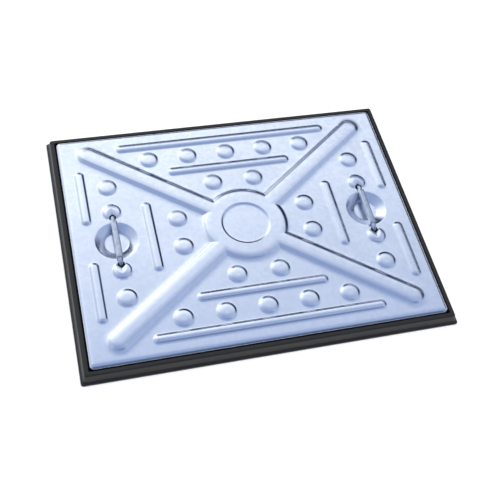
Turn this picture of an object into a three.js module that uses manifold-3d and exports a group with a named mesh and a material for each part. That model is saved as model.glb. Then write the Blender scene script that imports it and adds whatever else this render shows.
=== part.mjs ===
// Rectangular access cover: a pressed steel plate that drops into a moulded plastic frame.
// Millimetres, +Z up. The origin is the centre of the frame's underside.
// +X runs along the long side, +Y along the short side.
import * as THREE from 'three';
import { mergeVertices } from 'three/addons/utils/BufferGeometryUtils.js';
import Module from 'manifold-3d';

const wasm = await Module();
wasm.setup();

// ---------- driving dimensions ----------
const CLEAR = { x: 600, y: 450 };        // clear opening of the frame
const BEARING = 10;                      // cover's overlap of the opening, each side
const LIP_TOP = 20;                      // height of the frame's lip
const TOP = LIP_TOP + 4.5;               // height of the cover's flat, which stands a little proud
const SHEET = 2;                         // steel thickness
const FIT_GAP = 1.5;                     // gap between the cover's skirt and the frame
const TOUCH_GAP = 0.3;                   // gap between parts that touch

// frame section, measured outwards from the clear opening
const FRAME = {
  ledge: 4,                              // height of the ledge that the cover stands on
  upstand: 3,                            // thickness of the rib along the opening
  upstandTop: 12,
  lip: 7.5,                              // width of the lip around the cover
  flare: 3,                              // how far the outer wall leans out at its foot
  flange: 4,                             // how far the base flange stands out of the wall
  flangeTop: 5,
  skin: 2.5,                             // wall thickness around the hollow under the lip
  crown: 3.5,                            // material above that hollow
  ribPitch: 60,                          // spacing of the cross ribs in the hollow
};

// cover edge and pressed relief
const EDGE_RADIUS = 8;
const THINNING = 0.8;                    // inner outline of a pressing, inside the outer one
const ARM = { width: 35, rise: 4.5, x: 256, y: 194, start: 58 };
const HUB = { radius: 74, rise: 4.5, innerRadius: 43, innerSlope: 1.5, recess: 2 };
const RIB = { width: 14.5, rise: 3 };
const DIMPLE = { radius: 16.5, rise: 3 };
const DISH = { x: 231, radius: 37.5, floorRadius: 21, depth: 9.5, bevel: 1 };

// relief in one quarter, repeated in all four; a zero lies on the axis of symmetry
const DIMPLE_CENTRES = [
  [0, 169.3], [73.1, 169.3], [146.2, 169.3], [38.4, 100.9],
  [118.5, 30.1], [231, 116.2], [231, 61.5],
];
const RIBS = [
  { along: 'x', at: [0, 201.3], length: 401 },
  { along: 'x', at: [0, 135.5], length: 228 },
  { along: 'y', at: [277, 98.4], length: 114 },
  { along: 'y', at: [169, 0], length: 142 },
];

// lifting handle
const HANDLE = {
  grip: 9,                               // height of the flattened middle of the bar
  gripWidth: 11,
  gripLength: 71,
  rod: 6.5,                              // diameter of the necks and legs
  span: 98,                              // between the legs
  bend: 5,
  lift: 12,                              // travel from rest until the washers meet the sheet
  head: 11,                              // diameter of the upset end of a leg
  headHeight: 2.5,
};
const WASHER = { outer: 18, bore: 7.5, thickness: 1.2 };
// five-sided leg hole, measured from the leg's centre towards and away from the dish
const HOLE = { halfWidth: 6.5, inner: 4.5, shoulder: 2, tip: 8 };

// channel under the cover
const STIFFENER = { x: 105, length: 440, web: 24, flange: 12, bottom: 8.5 };

const COVER = { x: CLEAR.x + 2 * BEARING, y: CLEAR.y + 2 * BEARING };
const UNDERSIDE = TOP - SHEET;
const SKIRT_BOTTOM = FRAME.ledge + TOUCH_GAP;
const WASHER_SEAT = UNDERSIDE - 0.5 - HANDLE.lift - WASHER.thickness;   // washer's lower face at rest
const LEG_END = WASHER_SEAT - TOUCH_GAP - HANDLE.headHeight;

// ---------- solids ----------
// A closed geometry as a solid that can be joined and cut.
function solid(geometry) {
  const bare = geometry.clone();
  bare.deleteAttribute('normal');
  bare.deleteAttribute('uv');
  const merged = mergeVertices(bare, 1e-4);
  return new wasm.Manifold(new wasm.Mesh({
    numProp: 3,
    vertProperties: new Float32Array(merged.attributes.position.array),
    triVerts: new Uint32Array(merged.index.array),
  }));
}

// A solid as a three.js geometry with flat faces.
function geometryOf(shape) {
  const { vertProperties, triVerts } = shape.getMesh();
  const geometry = new THREE.BufferGeometry();
  geometry.setAttribute('position', new THREE.BufferAttribute(vertProperties, 3));
  geometry.setIndex(new THREE.BufferAttribute(triVerts, 1));
  const flat = geometry.toNonIndexed();
  flat.computeVertexNormals();
  return flat;
}

const join = (shapes) => shapes.reduce((all, next) => all.add(next));

// A block of the given full sizes, whose top can be smaller or larger than its foot.
function block(foot, bottom, top, head = foot) {
  const box = new THREE.BoxGeometry(1, 1, top - bottom);
  box.translate(0, 0, (top + bottom) / 2);
  const place = box.attributes.position;
  for (let i = 0; i < place.count; i += 1) {
    const size = place.getZ(i) > (top + bottom) / 2 ? head : foot;
    place.setXY(i, place.getX(i) * size.x, place.getY(i) * size.y);
  }
  return solid(box);
}

const grown = (size, by) => ({ x: size.x + 2 * by, y: size.y + 2 * by });

// Outline of a rib: a straight slot shape along X with round ends.
function slotShape(length, width, arcSteps) {
  const points = [];
  for (const end of [1, -1]) {
    for (let i = 0; i <= arcSteps; i += 1) {
      const angle = Math.PI * (i / arcSteps - end / 2);
      const x = (end * (length - width)) / 2 + (width / 2) * Math.cos(angle);
      points.push(new THREE.Vector2(x, (width / 2) * Math.sin(angle)));
    }
  }
  return new THREE.Shape(points);
}

function roundShape(radius, sides) {
  const points = Array.from({ length: sides }, (_, i) => (2 * Math.PI * i) / sides)
    .map((angle) => new THREE.Vector2(radius * Math.cos(angle), radius * Math.sin(angle)));
  return new THREE.Shape(points);
}

const rectangle = ({ x, y }) => new THREE.Shape([
  new THREE.Vector2(-x / 2, -y / 2), new THREE.Vector2(x / 2, -y / 2),
  new THREE.Vector2(x / 2, y / 2), new THREE.Vector2(-x / 2, y / 2),
]);

// A shape whose top edge is rounded over: full size at the level, narrower at level + rise.
function cushion(shape, level, rise, shoulder, root, steps) {
  const geometry = new THREE.ExtrudeGeometry(shape, {
    depth: root,
    bevelEnabled: true,
    bevelThickness: rise,
    bevelSize: shoulder,
    bevelOffset: -shoulder,
    bevelSegments: steps,
  });
  geometry.translate(0, 0, level - root);
  return solid(geometry);
}

// A solid of revolution about Z from [radius, height] pairs that run up from the axis to the axis.
function turned(profile, segments) {
  const points = profile.map(([r, z]) => new THREE.Vector2(r, z));
  const lathe = new THREE.LatheGeometry(points, segments);
  lathe.rotateX(Math.PI / 2);
  return solid(lathe);
}

// ---------- cover plate ----------
// The relief above one face of the sheet. The inner face sits one sheet lower and a little smaller.
function relief(level, inset) {
  const steps = inset ? 1 : 2;
  const bump = (shape, { rise }) => cushion(shape, level, rise, rise + 1, SHEET, steps);
  const pieces = [];

  const armLength = Math.hypot(ARM.x, ARM.y) - ARM.start + ARM.width;
  const armMiddle = (Math.hypot(ARM.x, ARM.y) + ARM.start) / 2;
  const armAngle = Math.atan2(ARM.y, ARM.x);
  const arm = bump(slotShape(armLength - 2 * inset, ARM.width - 2 * inset, 8), ARM);
  for (const angle of [armAngle, Math.PI - armAngle, Math.PI + armAngle, -armAngle]) {
    pieces.push(arm.translate([armMiddle, 0, 0]).rotate([0, 0, THREE.MathUtils.radToDeg(angle)]));
  }
  pieces.push(bump(roundShape(HUB.radius - inset, 36), HUB));

  for (const { along, at, length } of RIBS) {
    const rib = bump(slotShape(length - 2 * inset, RIB.width - 2 * inset, 5), RIB);
    const laid = along === 'y' ? rib.rotate([0, 0, 90]) : rib;
    for (const [x, y] of mirrored(at)) pieces.push(laid.translate([x, y, 0]));
  }

  const dimple = bump(roundShape(DIMPLE.radius - inset, 12), DIMPLE);
  for (const at of DIMPLE_CENTRES) {
    for (const [x, y] of mirrored(at)) pieces.push(dimple.translate([x, y, 0]));
  }

  const crown = level + HUB.rise;
  const recess = turned([
    [0, crown - HUB.recess],
    [HUB.innerRadius + inset - HUB.innerSlope, crown - HUB.recess],
    [HUB.innerRadius + inset + HUB.innerSlope, crown],
    [HUB.innerRadius + inset + HUB.innerSlope, crown + HUB.rise],
    [0, crown + HUB.rise],
  ], 32);
  return { raised: join(pieces), recess };
}

// The four mirror images of a point, without repeats for a point on an axis.
function mirrored([x, y]) {
  const images = [];
  for (const sx of x ? [1, -1] : [1]) {
    for (const sy of y ? [1, -1] : [1]) images.push([sx * x, sy * y]);
  }
  return images;
}

// One face of the sheet as a block with the edge rolled over.
function sheetFace(size, level, edge) {
  return cushion(rectangle(size), level - edge, edge, edge, TOP, 3);
}

function dishSolid(offset) {
  const floor = TOP - DISH.depth - offset;
  const above = TOP + 2 * DIMPLE.rise;
  return turned([
    [0, floor],
    [DISH.floorRadius - DISH.bevel + offset / 4, floor],
    [DISH.floorRadius + DISH.bevel + offset / 2, floor + DISH.bevel],
    [DISH.radius - DISH.bevel + offset / 2, TOP - DISH.bevel - offset],
    [DISH.radius + DISH.bevel + offset / 2, TOP - offset],
    [DISH.radius + DISH.bevel + offset / 2, above],
    [0, above],
  ], 28);
}

// Hole for a handle leg, on the far side of the dish from the middle and pointed away from it.
function legHole(side) {
  const shape = new THREE.Shape([
    new THREE.Vector2(-HOLE.halfWidth, -HOLE.inner),
    new THREE.Vector2(HOLE.halfWidth, -HOLE.inner),
    new THREE.Vector2(HOLE.halfWidth, HOLE.shoulder),
    new THREE.Vector2(0, HOLE.tip),
    new THREE.Vector2(-HOLE.halfWidth, HOLE.shoulder),
  ]);
  const hole = solid(new THREE.ExtrudeGeometry(shape, { depth: TOP, bevelEnabled: false }));
  const turn = side > 0 ? 0 : 180;
  return hole.rotate([0, 0, turn]).translate([0, (side * HANDLE.span) / 2, TOP / 2]);
}

function coverPlate() {
  const outer = relief(TOP, 0);
  const inner = relief(UNDERSIDE, THINNING);
  const outside = sheetFace(COVER, TOP, EDGE_RADIUS);
  const inside = sheetFace(grown(COVER, -SHEET), UNDERSIDE, EDGE_RADIUS - SHEET);

  let top = outside.add(outer.raised).subtract(outer.recess);
  let hollow = inside.add(inner.raised).subtract(inner.recess);
  for (const x of [-DISH.x, DISH.x]) {
    top = top.subtract(dishSolid(0).translate([x, 0, 0]));
    hollow = hollow.subtract(dishSolid(SHEET).translate([x, 0, 0]));
    for (const side of [-1, 1]) top = top.subtract(legHole(side).translate([x, 0, 0]));
  }
  const below = block(grown(COVER, TOP), -2 * TOP, SKIRT_BOTTOM);
  return top.subtract(hollow).subtract(below);
}

// ---------- frame ----------
function frameBody() {
  const { ledge, upstand, upstandTop, lip, flare, flange, flangeTop, skin, crown, ribPitch } = FRAME;
  const mouth = grown(COVER, FIT_GAP);
  const wallTop = grown(mouth, lip);
  const wallFoot = grown(wallTop, flare);
  const above = LIP_TOP + 1;

  const wall = block(wallFoot, 0, LIP_TOP, wallTop);
  const base = block(grown(wallFoot, flange), 0, flangeTop);
  const shell = wall.add(base)
    .subtract(block(mouth, ledge, above))
    .add(block(grown(CLEAR, upstand), 0, upstandTop))
    .subtract(block(CLEAR, -1, above));

  // hollow under the lip, open below and crossed by ribs
  const hollowInside = grown(mouth, skin);
  const hollowFoot = grown(wallFoot, -skin);
  const hollowHead = grown(wallTop, -skin);
  let hollow = block(hollowFoot, -1, LIP_TOP - crown, hollowHead)
    .subtract(block(hollowInside, -2, above));
  const across = grown(wallFoot, flange);
  for (const x of ribPlaces(CLEAR.x, ribPitch)) {
    hollow = hollow.subtract(block({ x: skin, y: across.y }, -2, above).translate([x, 0, 0]));
  }
  for (const y of ribPlaces(CLEAR.y, ribPitch)) {
    hollow = hollow.subtract(block({ x: across.x, y: skin }, -2, above).translate([0, y, 0]));
  }
  return shell.subtract(hollow);
}

function ribPlaces(length, pitch) {
  const count = Math.round(length / pitch);
  return Array.from({ length: count + 1 }, (_, i) => (i / count - 0.5) * length);
}

// ---------- handles ----------
// One rod bent down into two legs, with a thicker, flattened grip and an upset end on each leg.
function handleBar() {
  const axis = TOP + HANDLE.rod / 2 + TOUCH_GAP;
  const reach = HANDLE.span / 2;
  const legTop = axis - HANDLE.bend;
  const half = (side) => {
    const corner = new THREE.QuadraticBezierCurve3(
      new THREE.Vector3(0, side * (reach - HANDLE.bend), axis),
      new THREE.Vector3(0, side * reach, axis),
      new THREE.Vector3(0, side * reach, legTop),
    );
    return corner.getPoints(5);
  };
  const points = [
    new THREE.Vector3(0, -reach, LEG_END),
    ...half(-1).reverse(),
    ...half(1),
    new THREE.Vector3(0, reach, LEG_END),
  ];
  return rodAlong(points, HANDLE.rod / 2, 12)
    .add(gripSleeve(axis))
    .add(legHead(reach))
    .add(legHead(-reach));
}

// A round rod whose centre line runs through points that lie in the YZ plane.
function rodAlong(points, radius, sides) {
  const positions = [];
  const index = [];
  points.forEach((point, row) => {
    const before = points[Math.max(row - 1, 0)];
    const after = points[Math.min(row + 1, points.length - 1)];
    const along = after.clone().sub(before).normalize();
    const across = new THREE.Vector3(1, 0, 0);
    const up = across.clone().cross(along);
    for (let i = 0; i < sides; i += 1) {
      const angle = (2 * Math.PI * i) / sides;
      const ring = point.clone()
        .addScaledVector(across, radius * Math.cos(angle))
        .addScaledVector(up, radius * Math.sin(angle));
      positions.push(ring.x, ring.y, ring.z);
    }
  });
  for (let row = 0; row + 1 < points.length; row += 1) {
    for (let i = 0; i < sides; i += 1) {
      const j = (i + 1) % sides;
      const [a, b] = [row * sides + i, row * sides + j];
      index.push(a, b + sides, b, a, a + sides, b + sides);
    }
  }
  const last = (points.length - 1) * sides;
  for (let i = 1; i + 1 < sides; i += 1) {
    index.push(0, i, i + 1);
    index.push(last, last + i + 1, last + i);
  }
  const geometry = new THREE.BufferGeometry();
  geometry.setAttribute('position', new THREE.Float32BufferAttribute(positions, 3));
  geometry.setIndex(index);
  return solid(geometry);
}

function gripSleeve(axis) {
  const [r, end, chamfer] = [HANDLE.grip / 2, HANDLE.gripLength / 2, (HANDLE.grip - HANDLE.rod) / 2];
  const sleeve = turned([
    [0, -end], [r - chamfer, -end], [r, -end + chamfer],
    [r, end - chamfer], [r - chamfer, end], [0, end],
  ], 16);
  return sleeve.rotate([90, 0, 0]).scale([HANDLE.gripWidth / HANDLE.grip, 1, 1]).translate([0, 0, axis]);
}

function legHead(y) {
  const r = HANDLE.head / 2;
  const head = turned([[0, 0], [r - 1, 0], [r, 1], [r, HANDLE.headHeight], [0, HANDLE.headHeight]], 16);
  return head.translate([0, y, LEG_END]);
}

function washer() {
  const disc = (radius, bottom, top) => solid(new THREE.ExtrudeGeometry(roundShape(radius, 24), {
    depth: top - bottom, bevelEnabled: false,
  })).translate([0, 0, bottom]);
  return disc(WASHER.outer / 2, 0, WASHER.thickness)
    .subtract(disc(WASHER.bore / 2, -1, WASHER.thickness + 1));
}

// ---------- stiffening channel ----------
function stiffener() {
  const { length, web, flange, bottom } = STIFFENER;
  const top = UNDERSIDE - TOUCH_GAP;
  const half = web / 2;
  const right = [
    [half - SHEET, bottom + SHEET], [half - SHEET, top], [half + flange, top],
    [half + flange, top - SHEET], [half, top - SHEET], [half, bottom],
  ];
  const left = right.map(([x, z]) => [-x, z]).reverse();
  const outline = [...right, ...left].map(([x, z]) => new THREE.Vector2(x, z));
  const bar = new THREE.ExtrudeGeometry(new THREE.Shape(outline), { depth: length, bevelEnabled: false });
  bar.rotateX(Math.PI / 2);
  bar.translate(0, length / 2, 0);
  return solid(bar);
}

// ---------- assembly ----------
const galvanised = () => new THREE.MeshStandardMaterial({ color: 0xc9d6ea, roughness: 0.38, metalness: 0.9 });
const zinc = () => new THREE.MeshStandardMaterial({ color: 0xb4b9c0, roughness: 0.35, metalness: 0.9 });
const plastic = () => new THREE.MeshStandardMaterial({ color: 0x34373a, roughness: 0.6, metalness: 0 });

function named(name, shape, material) {
  const mesh = new THREE.Mesh(geometryOf(shape), material);
  mesh.name = name;
  return mesh;
}

const assembly = new THREE.Group();
assembly.add(named('frame', frameBody(), plastic()));

const cover = new THREE.Group();
cover.add(named('cover_plate', coverPlate(), galvanised()));
assembly.add(cover);

for (const [side, sign] of [['left', -1], ['right', 1]]) {
  const channel = named(`stiffener_${side}`, stiffener(), galvanised());
  channel.position.x = sign * STIFFENER.x;
  cover.add(channel);

  const lift = new THREE.Group();
  lift.position.x = sign * DISH.x;
  lift.add(named(`handle_${side}`, handleBar(), zinc()));
  for (const [end, way] of [['front', -1], ['back', 1]]) {
    const ring = named(`handle_washer_${side}_${end}`, washer(), zinc());
    ring.position.set(0, (way * HANDLE.span) / 2, WASHER_SEAT);
    lift.add(ring);
  }
  cover.add(lift);
}

export default assembly;
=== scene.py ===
import math

import bmesh
import bpy
import numpy as np
from mathutils import Matrix, Vector
from mathutils.geometry import delaunay_2d_cdt


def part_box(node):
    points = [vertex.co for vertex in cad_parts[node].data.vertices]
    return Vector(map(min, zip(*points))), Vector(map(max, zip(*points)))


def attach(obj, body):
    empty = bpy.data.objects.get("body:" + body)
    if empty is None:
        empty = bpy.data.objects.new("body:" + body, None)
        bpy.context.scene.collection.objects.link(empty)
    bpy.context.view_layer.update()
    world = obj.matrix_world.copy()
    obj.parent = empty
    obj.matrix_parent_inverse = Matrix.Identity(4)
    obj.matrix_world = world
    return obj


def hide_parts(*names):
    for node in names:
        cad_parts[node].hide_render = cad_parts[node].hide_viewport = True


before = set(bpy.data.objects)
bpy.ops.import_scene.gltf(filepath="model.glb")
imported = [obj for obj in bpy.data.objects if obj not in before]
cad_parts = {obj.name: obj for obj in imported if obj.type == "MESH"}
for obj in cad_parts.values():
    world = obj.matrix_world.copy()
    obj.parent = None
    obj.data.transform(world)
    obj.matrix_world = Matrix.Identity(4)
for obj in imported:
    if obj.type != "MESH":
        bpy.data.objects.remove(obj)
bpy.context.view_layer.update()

# Shapes are worked out in millimetres and scaled when a mesh is made.
MM = 0.001


def corners_mm(node):
    """Lowest and highest corner of a CAD node, in millimetres."""
    low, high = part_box(node)
    return np.array(low) / MM, np.array(high) / MM


FRAME_HIGH = corners_mm("frame")[1]
PLATE_LOW, PLATE_HIGH = corners_mm("cover_plate")
HANDLE_LOW, HANDLE_HIGH = corners_mm("handle_right")

LIP_TOP = FRAME_HIGH[2]                    # top of the frame's lip
ARM_RISE = 4.5                             # height of the arms and the hub
TOP = PLATE_HIGH[2] - ARM_RISE             # flat of the cover
SHEET = 2.0                                # thickness of the sheet

# Pressed pattern, the same in all four quarters. Each pressing has a steep wall of the given width on its
# outline, and blends in over a foot outside it and a crown inside it.
WALL_SHARE = 0.55                          # part of a pressing's height that its steep wall makes
ARM_HALF, ARM_WALL, ARM_FOOT, ARM_CROWN = 15.8, 7.8, 11.0, 12.0
ARM_START, ARM_END = 58.0, (256.0, 194.0)
HUB_RADIUS = 74.0
HUB_FILLET = 1.2                           # softness of the corner between an arm and the hub
HUB_INNER, HUB_RECESS, HUB_WALL, HUB_FOOT, HUB_CROWN = 43.0, 2.0, 4.0, 2.4, 3.6
RIB_HALF, RIB_RISE, RIB_WALL, RIB_FOOT, RIB_CROWN = 6.9, 3.0, 5.0, 4.5, 6.9
DIMPLE_RADIUS, DIMPLE_RISE, DIMPLE_WALL, DIMPLE_FOOT, DIMPLE_CROWN = 15.3, 3.0, 5.6, 5.0, 10.0
DIMPLES = [(0, 169.3), (73.1, 169.3), (146.2, 169.3), (38.4, 100.9), (118.5, 30.1), (231, 116.2)]
RIBS = [  # centre, half length, direction
    ((0, 201.3), 200.5, "x"), ((0, 135.5), 114.0, "x"),
    ((277, 98.4), 57.0, "y"), ((169, 0), 71.0, "y"),
]
DISH_X = float(HANDLE_LOW[0] + HANDLE_HIGH[0]) / 2
DISH_RADIUS, DISH_FLOOR, DISH_DEPTH, DISH_BEND = 38.3, 20.3, 9.5, 0.07
NOTCHED_Y = 61.5                           # dimples that the handle legs cut into
NOTCH_TIP, NOTCH_WALL, NOTCH_FOOT = 57.5, 3.4, 2.0
EDGE_RADIUS = 8.0                          # rolled edge
EDGE_CORNER = 1.0                          # corner of the flat, seen from above

LEG_Y = 49.0
HOLE_HALF, HOLE_INNER, HOLE_SHOULDER, HOLE_TIP = 6.3, 4.3, 2.0, 7.8
HOLE_CORNER = 1.8

# spacing of the sheet's vertices; the rings on a wall are given in parts of its width
WALL_RINGS = (-0.58, -0.42, -0.28, -0.14, 0, 0.14, 0.28, 0.42, 0.58)
CROWN_STEP, JUNCTION_STEP, NOTCH_STEP = 3.4, 1.3, 1.5
LOOSE_GRIDS = ((8.0, 12.0, 999.0), (4.5, 2.5, 12.0))  # step, nearest and furthest from a pressing


# ---------- small helpers ----------
def mesh_object(name, vertices, faces, material, smooth=True):
    """A piece from millimetre vertices and faces."""
    mesh = bpy.data.meshes.new(name)
    mesh.from_pydata([tuple(MM * float(c) for c in v) for v in vertices], [], [tuple(f) for f in faces])
    mesh.validate()
    mesh.update()
    piece = bpy.data.objects.new(name, mesh)
    bpy.context.scene.collection.objects.link(piece)
    mesh.materials.append(material)
    if smooth:
        mesh.polygons.foreach_set("use_smooth", [True] * len(mesh.polygons))
    return piece


def smooth_by_angle(piece, degrees):
    """Smooth shading that keeps edges sharper than the angle crisp."""
    mesh = piece.data
    bm = bmesh.new()
    bm.from_mesh(mesh)
    limit = math.radians(degrees)
    for face in bm.faces:
        face.smooth = True
    for edge in bm.edges:
        edge.smooth = len(edge.link_faces) == 2 and edge.calc_face_angle() < limit
    bm.to_mesh(mesh)
    bm.free()


def loft(loops, closed_section):
    """Faces between loops of equal length; the section closes on itself or leaves two open ends."""
    count = len(loops[0])
    vertices = [point for ring in loops for point in ring]
    faces = []
    rows = len(loops) if closed_section else len(loops) - 1
    for row in range(rows):
        here, there = row * count, ((row + 1) % len(loops)) * count
        for i in range(count):
            j = (i + 1) % count
            faces.append((here + i, here + j, there + j, there + i))
    return vertices, faces


def rounded_corner(corner, before, after, radius, steps):
    """Points of a curve that cuts a corner short by a radius on both sides."""
    corner, before, after = np.array(corner), np.array(before), np.array(after)
    first = corner + radius * (before - corner) / np.linalg.norm(before - corner)
    last = corner + radius * (after - corner) / np.linalg.norm(after - corner)
    return [(1 - t) ** 2 * first + 2 * t * (1 - t) * corner + t * t * last
            for t in (k / steps for k in range(steps + 1))]


def rounded_rectangle(half_x, half_y, radius, corner_steps, side_parts):
    """Points of a rounded rectangle, anticlockwise; side_parts divides the long and the short sides."""
    points = []
    corners = [(1, -1, -90), (1, 1, 0), (-1, 1, 90), (-1, -1, 180)]
    for index, (sx, sy, start) in enumerate(corners):
        centre = np.array([sx * (half_x - radius), sy * (half_y - radius)])
        for step in range(corner_steps + 1):
            angle = math.radians(start + 90 * step / corner_steps)
            points.append(centre + radius * np.array([math.cos(angle), math.sin(angle)]))
        nx, ny, turn = corners[(index + 1) % 4]
        angle = math.radians(turn)
        following = np.array([nx * (half_x - radius), ny * (half_y - radius)])
        following = following + radius * np.array([math.cos(angle), math.sin(angle)])
        last = points[-1]
        parts = side_parts[0] if index % 2 else side_parts[1]
        points.extend(last + (following - last) * k / parts for k in range(1, parts))
    return points


# ---------- pressed relief of the cover ----------
def smooth_step(t):
    t = np.clip(t, 0, 1)
    return t * t * (3 - 2 * t)


def pressed(inside, wall, foot, crown, rise):
    """Height of a pressing a given way inside its outline: a steep wall on the outline, and a soft
    foot and crown on either side of it."""
    steep = smooth_step(inside / wall + 0.5)
    soft = smooth_step((inside + foot) / (foot + crown))
    return rise * (WALL_SHARE * steep + (1 - WALL_SHARE) * soft)


def to_segment(x, y, start, end):
    """Distance from points to a straight segment."""
    sx, sy = start
    ex, ey = end[0] - sx, end[1] - sy
    along = np.clip(((x - sx) * ex + (y - sy) * ey) / max(ex * ex + ey * ey, 1e-9), 0, 1)
    return np.hypot(x - sx - along * ex, y - sy - along * ey)


ARM_LENGTH = math.hypot(*ARM_END)
ARM_FROM = tuple(ARM_START * c / ARM_LENGTH for c in ARM_END)


def arm_inside(x, y):
    return ARM_HALF - to_segment(np.abs(x), np.abs(y), ARM_FROM, ARM_END)


def hub_inside(x, y):
    return HUB_RADIUS - np.hypot(x, y)


def cross_inside(x, y):
    """How far inside the outline of the arms and hub, with a small fillet where they meet."""
    arm, hub = arm_inside(x, y), hub_inside(x, y)
    apart = np.exp(-np.abs(arm - hub) / HUB_FILLET)
    return np.maximum(arm, hub) + HUB_FILLET * (np.log1p(apart) - math.log(2) * apart)


def recess_inside(x, y):
    return HUB_INNER - np.hypot(x, y)


def rib_ends(centre, half, direction):
    reach = half - RIB_HALF
    if direction == "x":
        return (centre[0] - reach, centre[1]), (centre[0] + reach, centre[1])
    return (centre[0], centre[1] - reach), (centre[0], centre[1] + reach)


def notch_inside(x, y):
    """Inside of the dimple that a leg hole cuts a V into."""
    u, v = np.abs(np.abs(x) - DISH_X), np.abs(y)
    dimple = DIMPLE_RADIUS - np.hypot(u, v - NOTCHED_Y)
    return np.minimum(dimple, (u + v - NOTCH_TIP) / math.sqrt(2))


def dish_depth(radius):
    """Cone between a rounded rim and a crease around the flat floor."""
    t = np.clip((DISH_RADIUS - radius) / (DISH_RADIUS - DISH_FLOOR), 0, 1)
    bend = DISH_BEND
    start, end = t * t / (2 * bend), 1 - bend - (1 - t) ** 2 / (2 * bend)
    cone = np.where(t < bend, start, np.where(t > 1 - bend, end, t - bend / 2))
    return DISH_DEPTH * cone / (1 - bend)


def relief(x, y):
    """Height of the pressed sheet above its flat, in millimetres."""
    ax, ay = np.abs(x), np.abs(y)
    height = pressed(cross_inside(x, y), ARM_WALL, ARM_FOOT, ARM_CROWN, ARM_RISE)
    height = height - pressed(recess_inside(x, y), HUB_WALL, HUB_FOOT, HUB_CROWN, HUB_RECESS)
    for centre, half, direction in RIBS:
        inside = RIB_HALF - to_segment(ax, ay, *rib_ends(centre, half, direction))
        height = height + pressed(inside, RIB_WALL, RIB_FOOT, RIB_CROWN, RIB_RISE)
    for cx, cy in DIMPLES:
        inside = DIMPLE_RADIUS - np.hypot(ax - cx, ay - cy)
        height = height + pressed(inside, DIMPLE_WALL, DIMPLE_FOOT, DIMPLE_CROWN, DIMPLE_RISE)
    height = height + pressed(notch_inside(x, y), NOTCH_WALL, NOTCH_FOOT, DIMPLE_CROWN, DIMPLE_RISE)
    return height - dish_depth(np.hypot(ax - DISH_X, y))


def ring_of(cx, cy, radius, count):
    turn = np.arange(count) * 2 * math.pi / count
    return np.stack([cx + radius * np.cos(turn), cy + radius * np.sin(turn)], 1)


def slot_ring(start, end, radius, arc_step, side_step):
    """Outline a given radius around a straight segment."""
    start, end = np.array(start, float), np.array(end, float)
    along = (end - start) / np.linalg.norm(end - start)
    base = math.atan2(along[1], along[0])
    arc_count = max(4, round(math.pi * radius / arc_step))
    side_count = max(1, round(float(np.linalg.norm(end - start)) / side_step))
    points = []
    for centre, turn in ((end, base - math.pi / 2), (start, base + math.pi / 2)):
        for k in range(arc_count + 1):
            angle = turn + math.pi * k / arc_count
            points.append(centre + radius * np.array([math.cos(angle), math.sin(angle)]))
        other = start if centre is end else end
        first = points[-1]
        points.extend(first + (other - centre) * k / side_count for k in range(1, side_count))
    return np.array(points)


def mirror_all(points):
    """Points of one quarter in all four quarters, without the repeats on the axes."""
    everywhere = np.concatenate([points * np.array(s) for s in ((1, 1), (-1, 1), (1, -1), (-1, -1))])
    return np.unique(np.round(everywhere, 4), axis=0)


def hole_outline():
    """Rounded five-sided leg hole in the back right quarter."""
    corners = [
        (-HOLE_HALF, -HOLE_INNER), (HOLE_HALF, -HOLE_INNER), (HOLE_HALF, HOLE_SHOULDER),
        (0.0, HOLE_TIP), (-HOLE_HALF, HOLE_SHOULDER),
    ]
    points = []
    for i, corner in enumerate(corners):
        before, after = corners[i - 1], corners[(i + 1) % 5]
        points += rounded_corner(corner, before, after, HOLE_CORNER, 4)
    return np.array(points) + np.array([DISH_X, LEG_Y])


def in_polygon(points, outline):
    """Which points lie inside an outline."""
    inside = np.zeros(len(points), bool)
    x, y = points[:, 0], points[:, 1]
    for (x0, y0), (x1, y1) in zip(outline, np.roll(outline, -1, axis=0)):
        crosses = (y0 > y) != (y1 > y)
        at = x0 + (y - y0) * (x1 - x0) / (y1 - y0 if y1 != y0 else 1e-12)
        inside ^= crosses & (x < at)
    return inside


def grid(low, high, step):
    """Staggered grid of points."""
    rows = []
    for row, y in enumerate(np.arange(low[1], high[1], step * 0.87)):
        xs = np.arange(low[0] + (row % 2) * step / 2, high[0], step)
        rows.append(np.stack([xs, np.full_like(xs, y)], 1))
    return np.concatenate(rows)


def wall_steps(wall, foot):
    """Distances inside an outline at which the sheet gets a ring of vertices."""
    outside = [-foot, -(foot + wall / 2) / 2]
    return outside + [wall * t for t in WALL_RINGS]


def rib_rings():
    """Rings of vertices around every straight rib."""
    rings = []
    for (cx, cy), half, direction in RIBS:
        for centre in sorted({(sx * cx, sy * cy) for sx in (-1, 1) for sy in (-1, 1)}):
            start, end = rib_ends(centre, half, direction)
            for inside in wall_steps(RIB_WALL, RIB_FOOT) + [4.6, RIB_HALF - 1.2]:
                rings.append(slot_ring(start, end, RIB_HALF - inside, 1.6, 9))
    return rings


def clearance(x, y, flat_x, flat_y):
    """Distance from points to the nearest pressing, dish or edge of the flat."""
    ax, ay = np.abs(x), np.abs(y)
    clear = np.minimum(-cross_inside(x, y), flat_x + 1.5 - ax)
    clear = np.minimum(clear, flat_y + 1.5 - ay)
    for centre, half, direction in RIBS:
        away = to_segment(ax, ay, *rib_ends(centre, half, direction)) - RIB_HALF - RIB_FOOT
        clear = np.minimum(clear, np.where(away < 1, -1, away))
    for cx, cy in DIMPLES + [(DISH_X, NOTCHED_Y)]:
        away = np.hypot(ax - cx, ay - cy) - DIMPLE_RADIUS
        clear = np.minimum(clear, away)
    return np.minimum(clear, np.hypot(ax - DISH_X, y) - DISH_RADIUS)


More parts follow.
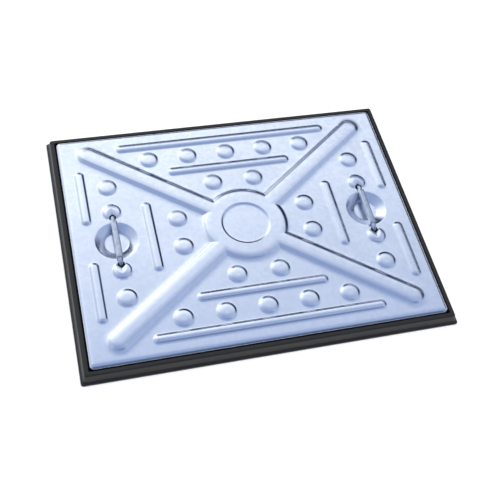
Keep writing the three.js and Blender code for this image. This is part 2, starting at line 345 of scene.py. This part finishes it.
def dimple_points():
    """Rings of vertices in and around every whole dimple."""
    sets = []
    for cx, cy in DIMPLES:
        rings = [ring_of(cx, cy, DIMPLE_RADIUS - d, 36) for d in wall_steps(DIMPLE_WALL, DIMPLE_FOOT)]
        rings += [ring_of(cx, cy, r, round(2.4 * r) + 3) for r in (10.2, 7.6, 5.0, 2.4)]
        sets.append(mirror_all(np.concatenate(rings + [np.array([[cx, cy]])])))
    return sets


def cross_points():
    """Rings of vertices along the outline that the arms and the hub share and around the hub's recess, a
    grid on their crowns, and a fine one where an arm meets the hub."""
    sets, overlap = [], 0.4
    for d in wall_steps(ARM_WALL, ARM_FOOT) + [6.0]:
        arm = slot_ring(ARM_FROM, ARM_END, ARM_HALF - d, 2.2, 4.4)
        arm = arm[hub_inside(arm[:, 0], arm[:, 1]) < d - overlap]
        hub = ring_of(0, 0, HUB_RADIUS - d, 170)
        hub = hub[arm_inside(hub[:, 0], hub[:, 1]) < d - overlap]
        sets += [mirror_all(arm), hub]
    recess_steps = wall_steps(HUB_WALL, HUB_FOOT) + [HUB_CROWN + 0.6]
    sets += [ring_of(0, 0, HUB_INNER - d, 110) for d in recess_steps]

    fill = grid((-290, -230), (290, 230), CROWN_STEP)
    x, y = fill[:, 0], fill[:, 1]
    sets.append(fill[(cross_inside(x, y) > 7.4) & (np.abs(recess_inside(x, y)) > 5)])

    near = grid((40, 24), (76, 66), JUNCTION_STEP)
    arm, hub = arm_inside(near[:, 0], near[:, 1]), hub_inside(near[:, 0], near[:, 1])
    depth = np.maximum(arm, hub)
    sets.append(mirror_all(near[(np.abs(arm - hub) < 5) & (depth > -6) & (depth < 7)]))
    return sets


def dish_points():
    """Rings of vertices in the dishes, close together at the rounded rim and at the floor's crease."""
    rim = [DISH_RADIUS - d for d in (-0.9, 0, 0.3, 0.6, 1.0, 1.4, 1.9, 3.5, 5.5, 7.7, 9.9, 12.1, 14.1)]
    crease = [DISH_FLOOR + d for d in (2.3, 1.4, 1.0, 0.6, 0.3, 0)]
    radii = rim + crease + [17, 13, 8.5, 4]
    rings = [ring_of(DISH_X, 0, r, max(8, round(1.9 * r))) for r in radii]
    return [mirror_all(np.concatenate(rings + [np.array([[DISH_X, 0.0]])]))]


def notch_points():
    """Vertices on the notched dimples: a grid, lines along both sides of the V, and rings."""
    reach = DIMPLE_RADIUS + 3.7
    local = grid((DISH_X - reach, NOTCHED_Y - reach), (DISH_X + reach, NOTCHED_Y + reach), NOTCH_STEP)
    near = notch_inside(local[:, 0], local[:, 1]) > -2.2
    sides = np.concatenate([
        np.array([[DISH_X + side * k, NOTCH_TIP - k + away * math.sqrt(2)] for k in np.arange(0, 10.4, 0.8)])
        for away in (-1.4, -0.7, 0.0, 0.7, 1.4) for side in (-1, 1)
    ])
    rings = [ring_of(DISH_X, NOTCHED_Y, DIMPLE_RADIUS - d, 48) for d in (-1.5, -0.9, -0.3, 0.3, 0.9, 1.5)]
    return [mirror_all(np.concatenate([local[near], sides, *rings]))]


def loose_points(flat_x, flat_y):
    """Looser and looser grids on the flat between the pressings."""
    sets = []
    for step, least, most in LOOSE_GRIDS:
        loose = grid((-flat_x, -flat_y), (flat_x, flat_y), step)
        away = clearance(loose[:, 0], loose[:, 1], flat_x, flat_y)
        sets.append(loose[(away > least) & (away <= most)])
    return sets


def flat_pattern(rim, holes, flat_x, flat_y):
    """Vertices and triangles of the sheet before it is pressed, seen from above."""
    sets = dimple_points() + cross_points() + dish_points() + notch_points() + loose_points(flat_x, flat_y)
    loose = np.concatenate(sets)
    keep = (np.abs(loose[:, 0]) < flat_x - 1) & (np.abs(loose[:, 1]) < flat_y - 1)
    for outline in holes:
        middle = outline.mean(0)
        keep &= ~in_polygon(loose, middle + (outline - middle) * 1.06)

    loops = [rim, *holes, *rib_rings()]
    edges, start = [], 0
    for ring in loops:
        edges += [(start + i, start + (i + 1) % len(ring)) for i in range(len(ring))]
        start += len(ring)
    points = np.concatenate([*loops, loose[keep]])
    result = delaunay_2d_cdt([Vector(p) for p in points], edges, [], 0, 1e-5)
    flat = np.array([tuple(v) for v in result[0]])
    triangles = np.array([tuple(f) for f in result[2]])

    middle = flat[triangles].mean(1)
    inside = in_polygon(middle, rim)
    for outline in holes:
        inside &= ~in_polygon(middle, outline)
    triangles = triangles[inside]
    used = np.unique(triangles)
    renumber = np.full(len(flat), -1)
    renumber[used] = np.arange(len(used))
    return flat[used], renumber[triangles]


def rolled_edge(rim, flat_x, flat_y):
    """Rings of the outer and inner face of the edge, from the flat's rim outwards and down."""
    core = np.clip(rim, [-(flat_x - EDGE_CORNER), -(flat_y - EDGE_CORNER)],
                   [flat_x - EDGE_CORNER, flat_y - EDGE_CORNER])
    outward = (rim - core) / np.linalg.norm(rim - core, axis=1)[:, None]
    drop = TOP - EDGE_RADIUS - PLATE_LOW[2]
    steps = [(math.radians(90) * k / 9, 0.0) for k in range(1, 10)]
    steps += [(math.radians(90), drop * k) for k in (0.4, 0.8, 1.0)]
    outer, inner = [], []
    for angle, down in steps:
        for rings, radius in ((outer, EDGE_RADIUS), (inner, EDGE_RADIUS - SHEET)):
            across = rim + outward * radius * math.sin(angle)
            level = np.full(len(rim), TOP - EDGE_RADIUS + radius * math.cos(angle) - down)
            rings.append(np.column_stack([across, level]))
    return outer, inner


def cover_plate(material):
    """Pressed sheet with a rolled edge, as one closed shell."""
    flat_x, flat_y = PLATE_HIGH[0] - EDGE_RADIUS, PLATE_HIGH[1] - EDGE_RADIUS
    rim = np.array(rounded_rectangle(flat_x, flat_y, EDGE_CORNER, 6, (100, 76)))
    holes = [hole_outline() * np.array(s) for s in ((1, 1), (-1, 1), (1, -1), (-1, -1))]
    flat, triangles = flat_pattern(rim, holes, flat_x, flat_y)
    top = np.column_stack([flat, TOP + relief(flat[:, 0], flat[:, 1])])
    outer, inner = rolled_edge(rim, flat_x, flat_y)
    face = np.concatenate([top, *outer])
    back = np.concatenate([top - np.array([0, 0, SHEET]), *inner])

    faces = [tuple(t) for t in triangles]
    count = len(rim)
    previous = [int(np.argmin(np.hypot(*(flat - p).T))) for p in rim]
    for row in range(len(outer)):
        current = [len(top) + row * count + i for i in range(count)]
        faces += [(previous[i], current[i], current[(i + 1) % count], previous[(i + 1) % count])
                  for i in range(count)]
        previous = current

    # close the sheet along every open edge
    sides = dict.fromkeys(side for corners in faces for side in zip(corners, corners[1:] + corners[:1]))
    size = len(face)
    walls = [(b, a, a + size, b + size) for a, b in sides if (b, a) not in sides]
    backs = [tuple(i + size for i in reversed(corners)) for corners in faces]
    vertices = np.concatenate([face, back])
    piece = mesh_object("pressed_plate", vertices, faces + backs + walls, material)
    smooth_by_angle(piece, 50)
    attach(piece, "cover")
    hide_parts("cover_plate")
    return piece


# ---------- frame ----------
def frame_moulding(material):
    """Frame around the opening: upstand, channel, lip, sloping wall and base, with pockets underneath."""
    half_x, half_y = FRAME_HIGH[0], FRAME_HIGH[1]
    reach_x = 300.0                          # half of the clear opening
    reach_y = reach_x - (half_x - half_y)
    flange = half_x - reach_x                # width of the base
    ledge, upstand, upstand_top = 4.0, 3.0, 12.0
    mouth, lip, flare = 11.5, 7.5, 3.0       # widths of the channel, the lip and the wall's slope
    flange_top, flange_fall = 5.0, 1.6
    wall_foot = mouth + lip + flare

    outline = [  # distance out from the opening, height, corner radius
        (0, 0, 0.4), (flange, 0, 0.5), (flange, flange_top - flange_fall, 0.9), (wall_foot, flange_top, 3.4),
        (mouth + lip, LIP_TOP, 2.8), (mouth, LIP_TOP, 0.8), (mouth, ledge, 0.8), (upstand, ledge, 0.8),
        (upstand, upstand_top, 0.9), (0, upstand_top, 0.9),
    ]
    section = []
    for i, (out, up, radius) in enumerate(outline):
        before, after = outline[i - 1][:2], outline[(i + 1) % len(outline)][:2]
        section += rounded_corner((out, up), before, after, radius, 4)
    loops = []
    for out, up in section:
        corner_radius = 1.6 + 0.1 * out
        ring = rounded_rectangle(reach_x + out, reach_y + out, corner_radius, 6, (10, 8))
        loops.append([(x, y, up) for x, y in ring])
    vertices, faces = loft(loops, closed_section=True)
    piece = mesh_object("frame_moulding", vertices, faces, material)
    recalculate(piece)
    cut_pockets(piece, reach_x, reach_y, mouth, lip, flare)
    smooth_by_angle(piece, 35)
    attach(piece, "frame")
    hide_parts("frame")
    return piece


def recalculate(piece):
    """Turns every face outwards."""
    bm = bmesh.new()
    bm.from_mesh(piece.data)
    bmesh.ops.recalc_face_normals(bm, faces=bm.faces)
    bm.to_mesh(piece.data)
    bm.free()


def cut_pockets(piece, reach_x, reach_y, mouth, lip, flare):
    """Cuts the pockets between the ribs in the hollow under the lip."""
    skin, crown, pitch = 2.5, 3.5, 60.0      # wall thickness, material above a pocket, rib spacing
    corner_gap = 0.6                         # half of the wall between the pockets at a corner
    inner, foot, head = mouth + skin, mouth + lip + flare - skin, mouth + lip - skin
    roof = LIP_TOP - crown
    vertices, faces = [], []

    def pocket(corners_low, corners_high):
        base = len(vertices)
        vertices.extend([*corners_low, *corners_high])
        faces.extend([
            (base + 3, base + 2, base + 1, base), (base + 4, base + 5, base + 6, base + 7),
            *((base + i, base + (i + 1) % 4, base + 4 + (i + 1) % 4, base + 4 + i) for i in range(4)),
        ])

    for length, reach, turn in ((reach_x, reach_y, 0), (reach_y, reach_x, 90)):
        count = round(2 * length / pitch)
        stops = [-(length + inner)] + [(k / count - 0.5) * 2 * length for k in range(count + 1)]
        stops.append(length + inner)
        for first, last in zip(stops, stops[1:]):
            a = first + (skin / 2 if first > -length - 1 else corner_gap)
            b = last - (skin / 2 if last < length + 1 else corner_gap)
            for side in (1, -1):
                low, high = (
                    [(a, near, z), (b, near, z), (b, far, z), (a, far, z)]
                    for near, far, z in (
                        (reach + inner, reach + foot, -1), (reach + inner, reach + head, roof))
                )
                spin = Matrix.Rotation(math.radians(turn + (0 if side > 0 else 180)), 3, "Z")
                pocket([tuple(spin @ Vector(p)) for p in low], [tuple(spin @ Vector(p)) for p in high])
    cutter = mesh_object("pocket_cutter", vertices, faces, piece.data.materials[0], smooth=False)
    recalculate(cutter)
    cut = piece.modifiers.new("pockets", "BOOLEAN")
    cut.operation = "DIFFERENCE"
    cut.solver = "EXACT"
    cut.object = cutter
    apply_modifiers(piece)
    bpy.data.objects.remove(cutter)


def apply_modifiers(piece):
    """Replaces the mesh by what its modifiers make of it."""
    ready = bpy.context.evaluated_depsgraph_get()
    made = bpy.data.meshes.new_from_object(piece.evaluated_get(ready))
    piece.modifiers.clear()
    piece.data = made


# ---------- handles, washers, stiffeners ----------
def lifting_handle(name, node, material):
    """Bent rod: two legs with upset ends, and a flattened grip between them."""
    low, high = corners_mm(node)
    x = float(low[0] + high[0]) / 2
    grip, wide_grip, neck, bend = 4.5, 5.5, 3.25, 5.5
    flattened = 1.2                          # widening of the neck at the end of the bend
    upset = ((0, 4.4), (0.35, 5.1), (1.0, 5.5), (1.9, 5.5), (2.4, 5.2), (2.5, 4.2))  # height, radius
    axis = float(high[2]) - grip
    grip_end, taper, shoulder = (LEG_Y - bend) * 0.84, 2.2, 0.4
    bottom = float(low[2])

    path = [(LEG_Y, bottom + z, r, r) for z, r in upset]  # y, z, half width, half thickness
    path.append((LEG_Y, bottom + upset[-1][0] + 0.15, neck, neck))
    path.append((LEG_Y, axis - bend - 4, neck, neck))
    leg_rings = len(path)
    for k in range(9):
        angle = math.radians(90) * k / 8
        widen = 1 + (flattened - 1) * k / 8
        path.append((LEG_Y - bend + bend * math.cos(angle), axis - bend + bend * math.sin(angle),
                     neck * widen, neck))
    for t in (0.0, 0.25, 0.5, 0.75, 1.0):
        blend = float(smooth_step(t))
        half_width = neck * flattened + (wide_grip - neck * flattened) * blend
        path.append((grip_end + taper * (1 - t) + shoulder, axis, half_width, neck + (grip - neck) * blend))
    for y in (grip_end * 0.8, grip_end * 0.4, 0.0):
        path.append((y, axis, wide_grip, grip))
    path += [(-y, z, wide, thick) for y, z, wide, thick in reversed(path[:-1])]

    sides = 28
    loops = []
    for i, (y, z, wide, thick) in enumerate(path):
        before, after = path[max(i - 1, 0)], path[min(i + 1, len(path) - 1)]
        along = Vector((0, after[0] - before[0], after[1] - before[1])).normalized()
        if i < leg_rings:
            along = Vector((0, 0, 1))
        if i >= len(path) - leg_rings:
            along = Vector((0, 0, -1))
        up = Vector((1, 0, 0)).cross(along)
        squareness = 0.5 if thick > neck * 1.3 and abs(y) < LEG_Y - bend else 1.0
        ring = []
        for k in range(sides):
            turn = 2 * math.pi * k / sides
            across, upward = (
                math.copysign(abs(c) ** squareness, c) for c in (math.cos(turn), math.sin(turn)))
            ring.append(tuple(Vector((x + wide * across, y, z)) + up * thick * upward))
        loops.append(ring)
    vertices, faces = loft(loops, closed_section=False)
    last = (len(loops) - 1) * sides
    faces.append(tuple(range(sides)))
    faces.append(tuple(last + k for k in reversed(range(sides))))
    piece = mesh_object(name, vertices, faces, material)
    recalculate(piece)
    smooth_by_angle(piece, 40)
    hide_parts(node)
    return piece


def washer(name, node, material):
    """Flat washer with broken edges."""
    low, high = corners_mm(node)
    centre = (low + high) / 2
    outer, bore, edge = float(high[0] - low[0]) / 2, 3.75, 0.25
    section = [
        (bore + edge, low[2]), (outer - edge, low[2]), (outer, low[2] + edge), (outer, high[2] - edge),
        (outer - edge, high[2]), (bore + edge, high[2]), (bore, high[2] - edge), (bore, low[2] + edge),
    ]
    loops = [[(centre[0] + p[0], centre[1] + p[1], z) for p in ring_of(0, 0, r, 48)] for r, z in section]
    vertices, faces = loft(loops, closed_section=True)
    piece = mesh_object(name, vertices, faces, material)
    recalculate(piece)
    smooth_by_angle(piece, 30)
    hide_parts(node)
    return piece


def stiffener(name, node, material):
    """Channel with rounded bends and a flange along each side."""
    low, high = corners_mm(node)
    x = float(low[0] + high[0]) / 2
    width = float(high[0] - low[0]) / 2
    web, bend = 12.0, 2.6
    end = float(high[1])
    bottom, top = float(low[2]), float(high[2])
    half_sheet = SHEET / 2
    middle = [
        (width, top - half_sheet), (web - half_sheet, top - half_sheet),
        (web - half_sheet, bottom + half_sheet), (0.0, bottom + half_sheet),
    ]
    line = [np.array(middle[0])]
    for before, corner, after in zip(middle, middle[1:], middle[2:]):
        line += rounded_corner(corner, before, after, bend, 4)
    line += [p * np.array([-1, 1]) for p in reversed(line)]
    line = np.array(line)
    tangent = np.gradient(line, axis=0)
    normal = np.stack([-tangent[:, 1], tangent[:, 0]], 1)
    normal /= np.linalg.norm(normal, axis=1)[:, None]
    outline = np.concatenate([line + normal * half_sheet, (line - normal * half_sheet)[::-1]])
    outline[:, 1] = np.clip(outline[:, 1], bottom, top)
    loops = [[(x + px, y, pz) for px, pz in outline] for y in np.linspace(-end, end, 3)]
    vertices, faces = loft(loops, closed_section=False)
    count = len(outline)
    half = count // 2
    for base in (0, 2 * count):
        faces += [(base + i, base + i + 1, base + count - 2 - i, base + count - 1 - i)
                  for i in range(half - 1)]
    piece = mesh_object(name, vertices, faces, material)
    recalculate(piece)
    smooth_by_angle(piece, 30)
    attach(piece, "cover")
    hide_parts(node)
    return piece


# ---------- materials ----------
class Nodes:
    """Short way to build a material's node tree."""

    def __init__(self, tree):
        self.tree = tree

    def add(self, kind, **inputs):
        node = self.tree.nodes.new("ShaderNode" + kind)
        for key, value in inputs.items():
            name = key.replace("_", " ")
            if name in node.inputs:
                self.set(node.inputs[name], value)
            else:
                setattr(node, key, value)
        return node

    def set(self, socket, value):
        if isinstance(value, bpy.types.NodeSocket):
            self.tree.links.new(value, socket)
        else:
            socket.default_value = value

    def mix(self, factor, first, second, blend="MIX"):
        node = self.tree.nodes.new("ShaderNodeMix")
        node.data_type = "RGBA"
        node.blend_type = blend
        self.set(node.inputs[0], factor)
        self.set(node.inputs[6], first)
        self.set(node.inputs[7], second)
        return node.outputs[2]

    def spread(self, value, low, high, new_low, new_high):
        node = self.tree.nodes.new("ShaderNodeMapRange")
        node.interpolation_type = "SMOOTHSTEP"
        for socket, item in zip(node.inputs, (value, low, high, new_low, new_high)):
            self.set(socket, item)
        return node.outputs[0]

    def split(self, vector):
        node = self.add("SeparateXYZ", Vector=vector)
        return node.outputs[0], node.outputs[1], node.outputs[2]

    def degrees(self, angle):
        return self.math("MULTIPLY", angle, 180 / math.pi)

    def blend(self, factor, first, second):
        node = self.tree.nodes.new("ShaderNodeMix")
        for socket, item in zip((node.inputs[0], node.inputs[2], node.inputs[3]), (factor, first, second)):
            self.set(socket, item)
        return node.outputs[0]

    def product(self, first, *others):
        for other in others:
            first = self.math("MULTIPLY", first, other)
        return first

    def math(self, operation, first, second=0.0):
        node = self.tree.nodes.new("ShaderNodeMath")
        node.operation = operation
        self.set(node.inputs[0], first)
        self.set(node.inputs[1], second)
        return node.outputs[0]


def new_material(name, metallic):
    material = bpy.data.materials.new(name)
    material.use_nodes = True
    nodes = Nodes(material.node_tree)
    shader = next(n for n in material.node_tree.nodes if n.type == "BSDF_PRINCIPLED")
    shader.inputs["Metallic"].default_value = metallic
    place = nodes.add("TexCoord").outputs["Object"]
    return material, nodes, shader, place


def galvanised_sheet():
    """Zinc coated sheet: faint spangle, soft cloudiness and a very fine grain."""
    tint, roughness = (0.85, 0.87, 0.95), 0.17
    material, nodes, shader, place = new_material("galvanised_sheet", 1.0)
    spangle = nodes.add("TexVoronoi", Vector=place, Scale=150.0)
    cloud = nodes.add("TexNoise", Vector=place, Scale=9.0, Detail=4.0)
    grain = nodes.add("TexNoise", Vector=place, Scale=1400.0, Detail=3.0)
    drawn = nodes.add("Mapping", Vector=place, Scale=(3.0, 90.0, 3.0))
    streak = nodes.add("TexNoise", Vector=drawn.outputs[0], Scale=4.0, Detail=3.0)
    value = nodes.add("SeparateColor", Color=spangle.outputs["Color"]).outputs[0]
    darker = tuple(0.93 * c for c in tint) + (1,)
    colour = nodes.mix(nodes.spread(value, 0, 1, 0, 0.5), tint + (1,), darker)
    colour = nodes.mix(nodes.spread(cloud.outputs["Fac"], 0.35, 0.7, 0, 0.35), colour, darker)
    nodes.set(shader.inputs["Base Color"], colour)
    rough = nodes.math("ADD", nodes.spread(value, 0, 1, roughness - 0.02, roughness + 0.03),
                       nodes.spread(cloud.outputs["Fac"], 0.3, 0.75, -0.03, 0.05))
    rough = nodes.math("ADD", rough, nodes.spread(streak.outputs["Fac"], 0.3, 0.7, -0.01, 0.02))
    nodes.set(shader.inputs["Roughness"], rough)
    fine = nodes.add("Bump", Strength=0.02, Distance=0.0001, Height=grain.outputs["Fac"])
    wave = nodes.add("TexNoise", Vector=place, Scale=14.0, Detail=1.0)
    broad = nodes.add("Bump", Strength=0.25, Distance=0.0012, Height=wave.outputs["Fac"],
                      Normal=fine.outputs[0])
    nodes.set(shader.inputs["Normal"], broad.outputs[0])
    return material


def zinc_rod():
    """Drawn and zinc plated rod: lengthwise drawing lines and dulled patches."""
    material, nodes, shader, place = new_material("zinc_rod", 1.0)
    stretched = nodes.add("Mapping", Vector=place, Scale=(900.0, 25.0, 900.0))
    lines = nodes.add("TexNoise", Vector=stretched.outputs[0], Scale=1.0, Detail=4.0)
    patch = nodes.add("TexNoise", Vector=place, Scale=120.0, Detail=5.0)
    colour = nodes.mix(nodes.spread(patch.outputs["Fac"], 0.4, 0.7, 0, 1), (0.70, 0.73, 0.79, 1),
                       (0.60, 0.63, 0.69, 1))
    nodes.set(shader.inputs["Base Color"], colour)
    nodes.set(shader.inputs["Roughness"], nodes.spread(patch.outputs["Fac"], 0.3, 0.75, 0.38, 0.5))
    bump = nodes.add("Bump", Strength=0.25, Distance=0.0001, Height=lines.outputs["Fac"])
    nodes.set(shader.inputs["Normal"], bump.outputs[0])
    return material


def frame_plastic():
    """Black polypropylene with a fine moulded grain and faint dust."""
    material, nodes, shader, place = new_material("frame_plastic", 0.0)
    grain = nodes.add("TexNoise", Vector=place, Scale=900.0, Detail=4.0)
    flow = nodes.add("Mapping", Vector=place, Scale=(6.0, 6.0, 60.0))
    streak = nodes.add("TexNoise", Vector=flow.outputs[0], Scale=3.0, Detail=5.0)
    colour = nodes.mix(nodes.spread(streak.outputs["Fac"], 0.35, 0.75, 0, 1), (0.011, 0.010, 0.008, 1),
                       (0.015, 0.014, 0.011, 1))
    nodes.set(shader.inputs["Base Color"], colour)
    nodes.set(shader.inputs["Roughness"], nodes.spread(streak.outputs["Fac"], 0.3, 0.8, 0.42, 0.54))
    bump = nodes.add("Bump", Strength=0.3, Distance=0.00015, Height=grain.outputs["Fac"])
    nodes.set(shader.inputs["Normal"], bump.outputs[0])
    shader.inputs["Specular IOR Level"].default_value = 0.5
    return material


# ---------- floor, light and camera ----------
def studio_floor():
    reach, level = 2500, -0.2
    floor = mesh_object(
        "studio_floor",
        [(-reach, -reach, level), (reach, -reach, level), (reach, reach, level), (-reach, reach, level)],
        [(0, 1, 2, 3)], pale_floor(), smooth=False,
    )


def surroundings():
    """Soft light from all around the studio, in degrees around the compass and above the horizon."""
    world = bpy.data.worlds.new("studio")
    bpy.context.scene.world = world
    world.use_nodes = True
    nodes = Nodes(world.node_tree)
    sky = world.node_tree.nodes["Background"]
    side, depth, height = nodes.split(nodes.add("TexCoord").outputs["Generated"])
    bearing = nodes.degrees(nodes.math("ARCTAN2", side, depth))       # 0 at the back, 90 at the right
    rise = nodes.degrees(nodes.math("ARCSINE", height))

    # a bright wall at the back left, whose right end reaches further round high up than low down
    from_left = nodes.math("ADD", nodes.spread(bearing, -130.0, -85.0, 0.0, 0.2),
                           nodes.spread(bearing, -72.0, -8.0, 0.0, 0.8))
    low_end = nodes.spread(bearing, -14.0, 4.0, 1.0, 0.0)
    high_end = nodes.spread(bearing, -15.0, 92.0, 1.0, 0.0)
    right_end = nodes.blend(nodes.spread(rise, 33.0, 46.0, 0.0, 1.0), low_end, high_end)
    bright = nodes.product(from_left, right_end, nodes.spread(rise, 38.0, 78.0, 1.0, 0.0))

    # a low dark panel at the back right
    dark = nodes.product(nodes.spread(bearing, -7.0, 11.0, 0.0, 1.0),
                         nodes.spread(bearing, 68.0, 105.0, 1.0, 0.0),
                         nodes.spread(rise, 17.0, 36.0, 1.0, 0.0))

    # a softer light at the right, and less light low down at the front
    right = nodes.product(nodes.spread(bearing, 55.0, 85.0, 0.0, 1.0),
                          nodes.spread(bearing, 105.0, 150.0, 1.0, 0.0),
                          nodes.spread(rise, 5.0, 35.0, 0.0, 1.0))
    front = nodes.product(nodes.spread(nodes.math("ABSOLUTE", bearing), 125.0, 160.0, 0.0, 1.0),
                          nodes.spread(rise, 30.0, 72.0, 1.0, 0.0))

    low_blue, high_blue = (0.23, 0.29, 0.46, 1), (0.31, 0.41, 0.65, 1)
    colour = nodes.mix(nodes.spread(rise, 0.0, 80.0, 0.0, 1.0), low_blue, high_blue)
    colour = nodes.mix(front, colour, (0.09, 0.13, 0.23, 1))
    colour = nodes.mix(right, colour, (0.43, 0.53, 0.75, 1))
    colour = nodes.mix(dark, colour, (0.015, 0.02, 0.035, 1))
    colour = nodes.mix(bright, colour, (1.42, 1.52, 1.56, 1))
    nodes.set(sky.inputs["Color"], colour)
    sky.inputs["Strength"].default_value = 1.0


def pale_floor():
    material, nodes, shader, place = new_material("pale_floor", 0.0)
    cloud = nodes.add("TexNoise", Vector=place, Scale=2.0, Detail=2.0)
    colour = nodes.mix(cloud.outputs["Fac"], (0.93, 0.935, 0.94, 1), (0.96, 0.96, 0.96, 1))
    nodes.set(shader.inputs["Base Color"], colour)
    shader.inputs["Roughness"].default_value = 0.9
    return material


def overhead_softbox():
    """Large warm lamp high above, facing down."""
    lamp = bpy.data.lights.new("overhead_softbox", "AREA")
    lamp.shape = "SQUARE"
    lamp.size = 4.0
    lamp.energy = 180
    lamp.color = (1.0, 0.93, 0.80)
    holder = bpy.data.objects.new("overhead_softbox", lamp)
    holder.location = (0, 0, 4.0)
    holder.visible_glossy = False
    bpy.context.scene.collection.objects.link(holder)


def main_camera():
    """Camera above and in front of the front left corner, looking down at the middle of the cover."""
    place = Vector((-0.3399, -0.8291, 1.2620))
    azimuth, elevation, roll = (math.radians(a) for a in (23.38, 55.77, 11.79))
    forward = Vector((math.sin(azimuth) * math.cos(elevation), math.cos(azimuth) * math.cos(elevation),
                      -math.sin(elevation)))
    level = Vector((math.cos(azimuth), -math.sin(azimuth), 0))
    up = level.cross(forward)
    right = level * math.cos(roll) + up * math.sin(roll)
    lens = bpy.data.cameras.new("camera")
    lens.lens, lens.sensor_width = 61.34, 36.0
    camera = bpy.data.objects.new("camera", lens)
    axes = Matrix((right, right.cross(forward), -forward)).transposed()
    camera.matrix_world = Matrix.Translation(place) @ axes.to_4x4()
    bpy.context.scene.collection.objects.link(camera)
    bpy.context.scene.camera = camera


def build():
    steel = galvanised_sheet()
    zinc = zinc_rod()
    cover_plate(steel)
    frame_moulding(frame_plastic())
    for side in ("left", "right"):
        stiffener(f"stiffening_channel_{side}", f"stiffener_{side}", steel)
        body = f"handle_{side}"
        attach(lifting_handle(f"lifting_handle_{side}", f"handle_{side}", zinc), body)
        for end in ("front", "back"):
            node = f"handle_washer_{side}_{end}"
            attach(washer(f"washer_{side}_{end}", node, zinc), body)


main_camera()
studio_floor()
surroundings()
overhead_softbox()
build()
bpy.context.scene.view_settings.view_transform = "Standard"
